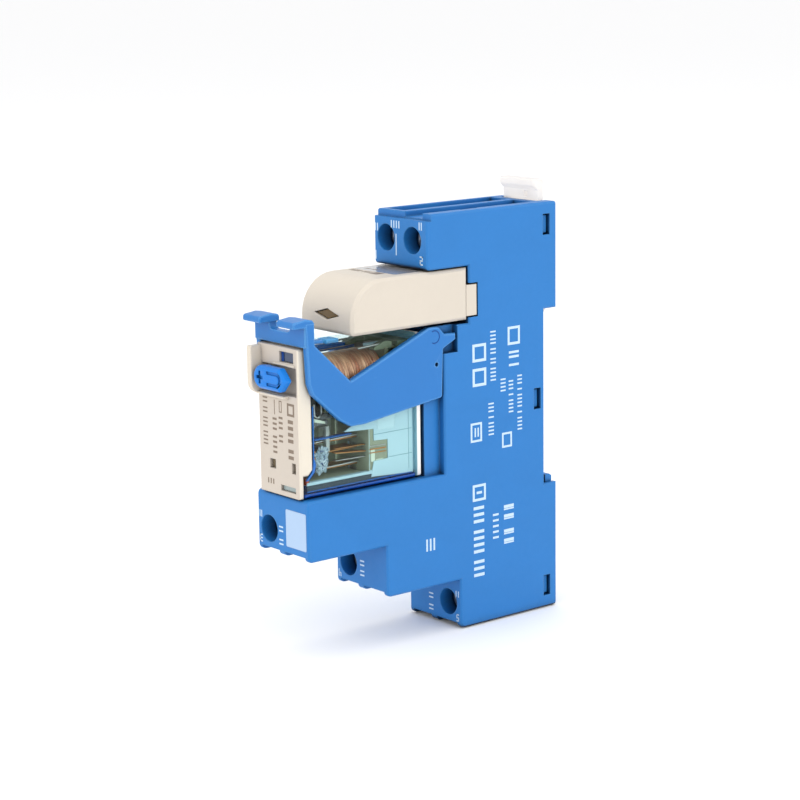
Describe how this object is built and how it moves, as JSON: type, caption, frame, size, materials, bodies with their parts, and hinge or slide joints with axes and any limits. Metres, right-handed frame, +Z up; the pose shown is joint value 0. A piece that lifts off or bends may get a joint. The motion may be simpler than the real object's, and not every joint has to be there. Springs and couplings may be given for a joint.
{
  "type": "plug in relay",
  "caption": "Slim plug-in relay with a test lever, in a stepped screw-terminal socket for a 35 mm rail, with a coil module and a swinging retaining clip.",
  "frame": {"origin": "centre of the rail seat: the plane that lies against the front of a 35 mm rail, in the middle of the rail slot and of the width", "axes": "+Y points back into the rail, -Y is the front with the screws and the test lever, +X is the right side seen from the front, +Z is up as pictured (a rail-mounted socket often hangs the other way up)"},
  "size_m": [0.0158, 0.0652, 0.086],
  "materials": {
    "socket_blue": "moulded blue thermoplastic, fine matt texture",
    "clip_blue": "moulded blue thermoplastic, slightly glossier",
    "button_blue": "bright blue moulded plastic",
    "clear_blue": "translucent blue plastic",
    "beige": "moulded light beige plastic",
    "lens": "smoked amber lens",
    "natural": "natural white moulded nylon, slightly translucent",
    "case_clear": "clear moulded polycarbonate",
    "base_cyan": "pale cyan moulded plastic",
    "brass": "bare brass strip",
    "zinc": "zinc-plated steel",
    "iron": "plated soft iron",
    "copper": "enamelled copper wire, close wound",
    "silver": "tin or silver plated copper",
    "spring": "phosphor-bronze strip",
    "white": "white moulded plastic",
    "orange": "orange moulded plastic",
    "pcb": "green glass-epoxy board",
    "dark": "black moulded epoxy"
  },
  "bodies": {
    "socket": {"socket_housing": "socket_blue", "rear_base": "socket_blue", "terminal_contact_a1": "brass", "terminal_contact_a2": "brass", "terminal_contact_nc": "brass", "terminal_contact_no": "brass", "terminal_contact_com": "brass"},
    "rail_clip": {"rail_clip": "natural"},
    "retaining_clip": {"retaining_clip": "clip_blue", "clip_catch": "clear_blue"},
    "module": {"module_housing": "beige", "module_lens": "lens", "module_base": "beige", "module_board": "pcb", "module_pin_a1": "silver", "module_pin_a2": "silver", "module_led": "orange", "module_diode": "dark", "module_resistor": "white"},
    "relay": {"relay_base": "base_cyan", "relay_case": "case_clear", "relay_front_cover": "beige", "coil_bobbin": "white", "coil_winding": "copper", "coil_core": "iron", "coil_yoke": "iron", "armature_spring": "spring", "nc_contact_blade": "spring", "nc_contact_rivet": "silver", "no_contact_blade": "spring", "no_contact_rivet": "silver", "relay_pin_a1": "silver", "relay_pin_a2": "silver", "relay_pin_nc": "silver", "relay_pin_com": "silver", "relay_pin_no": "silver"},
    "test_plunger": {"test_plunger": "button_blue"},
    "test_lever": {"test_lever": "button_blue"},
    "armature": {"armature": "iron", "indicator_flag": "orange"},
    "driver_card": {"driver_card": "white"},
    "moving_contact": {"moving_contact_blade": "spring", "moving_contact_rivet": "silver"},
    "screw_a1": {"terminal_screw_a1": "zinc"},
    "cage_a1": {"clamp_cage_a1": "zinc"},
    "screw_a2": {"terminal_screw_a2": "zinc"},
    "cage_a2": {"clamp_cage_a2": "zinc"},
    "screw_nc": {"terminal_screw_nc": "zinc"},
    "cage_nc": {"clamp_cage_nc": "zinc"},
    "screw_no": {"terminal_screw_no": "zinc"},
    "cage_no": {"clamp_cage_no": "zinc"},
    "screw_com": {"terminal_screw_com": "zinc"},
    "cage_com": {"clamp_cage_com": "zinc"}
  },
  "joints": [
    {"name": "rail_clip_slide", "type": "slide", "parent": "socket", "child": "rail_clip", "axis": [0, 0, 1], "range_m": [0, 0.003], "stiffness_N_per_m": 600, "springref_m": -0.0005},
    {"name": "retaining_clip_swing", "type": "hinge", "parent": "socket", "child": "retaining_clip", "pos_m": [0, -0.02835, 0.01556], "axis": [-1, 0, 0], "range_deg": [0, 20]},
    {"name": "module_unplug", "type": "slide", "parent": "socket", "child": "module", "axis": [0, 1, 0], "range_m": [-0.0075, 0]},
    {"name": "relay_unplug", "type": "slide", "parent": "socket", "child": "relay", "axis": [0, 1, 0], "range_m": [-0.042, 0]},
    {"name": "test_push", "type": "slide", "parent": "relay", "child": "test_plunger", "axis": [0, 1, 0], "range_m": [0, 0.001], "stiffness_N_per_m": 400, "springref_m": -0.0005},
    {"name": "test_turn", "type": "hinge", "parent": "test_plunger", "child": "test_lever", "pos_m": [-0.00235, -0.06, 0.01075], "axis": [0, 1, 0], "range_deg": [-90, 0]},
    {"name": "armature_tilt", "type": "hinge", "parent": "relay", "child": "armature", "pos_m": [0, -0.0544, 0.0024], "axis": [-1, 0, 0], "range_deg": [0, 5.01]},
    {"name": "card_slide", "type": "slide", "parent": "relay", "child": "driver_card", "axis": [0, 0, -1], "range_m": [0, 0.000306]},
    {"name": "contact_tilt", "type": "hinge", "parent": "relay", "child": "moving_contact", "pos_m": [0, -0.0428, -0.00447], "axis": [1, 0, 0], "range_deg": [0, 2.31]},
    {"name": "screw_turn_a1", "type": "hinge", "parent": "socket", "child": "screw_a1", "pos_m": [-0.0042, -0.02595, 0.0335], "axis": [0, 1, 0], "range_deg": [0, 1441]},
    {"name": "cage_lift_a1", "type": "slide", "parent": "socket", "child": "cage_a1", "axis": [0, -1, 0], "range_m": [0, 0.002]},
    {"name": "screw_turn_a2", "type": "hinge", "parent": "socket", "child": "screw_a2", "pos_m": [0.0036, -0.02595, 0.0335], "axis": [0, 1, 0], "range_deg": [0, 1441]},
    {"name": "cage_lift_a2", "type": "slide", "parent": "socket", "child": "cage_a2", "axis": [0, -1, 0], "range_m": [0, 0.002]},
    {"name": "screw_turn_nc", "type": "hinge", "parent": "socket", "child": "screw_nc", "pos_m": [-0.0042, -0.0551, -0.0187], "axis": [0, 1, 0], "range_deg": [0, 1441]},
    {"name": "cage_lift_nc", "type": "slide", "parent": "socket", "child": "cage_nc", "axis": [0, -1, 0], "range_m": [0, 0.002]},
    {"name": "screw_turn_no", "type": "hinge", "parent": "socket", "child": "screw_no", "pos_m": [-0.0041, -0.0366, -0.0287], "axis": [0, 1, 0], "range_deg": [0, 1441]},
    {"name": "cage_lift_no", "type": "slide", "parent": "socket", "child": "cage_no", "axis": [0, -1, 0], "range_m": [0, 0.002]},
    {"name": "screw_turn_com", "type": "hinge", "parent": "socket", "child": "screw_com", "pos_m": [0.004, -0.01825, -0.0384], "axis": [0, 1, 0], "range_deg": [0, 1441]},
    {"name": "cage_lift_com", "type": "slide", "parent": "socket", "child": "cage_com", "axis": [0, -1, 0], "range_m": [0, 0.002]}
  ],
  "couplings": [
    {"joint": "armature_tilt", "follows": "test_push", "rad_per_m": 87.266},
    {"joint": "card_slide", "follows": "test_push", "ratio": 0.305},
    {"joint": "contact_tilt", "follows": "test_push", "rad_per_m": 40.143},
    {"joint": "screw_turn_a1", "follows": "cage_lift_a1", "rad_per_m": 12566},
    {"joint": "screw_turn_a2", "follows": "cage_lift_a2", "rad_per_m": 12566},
    {"joint": "screw_turn_nc", "follows": "cage_lift_nc", "rad_per_m": 12566},
    {"joint": "screw_turn_no", "follows": "cage_lift_no", "rad_per_m": 12566},
    {"joint": "screw_turn_com", "follows": "cage_lift_com", "rad_per_m": 12566}
  ]
}
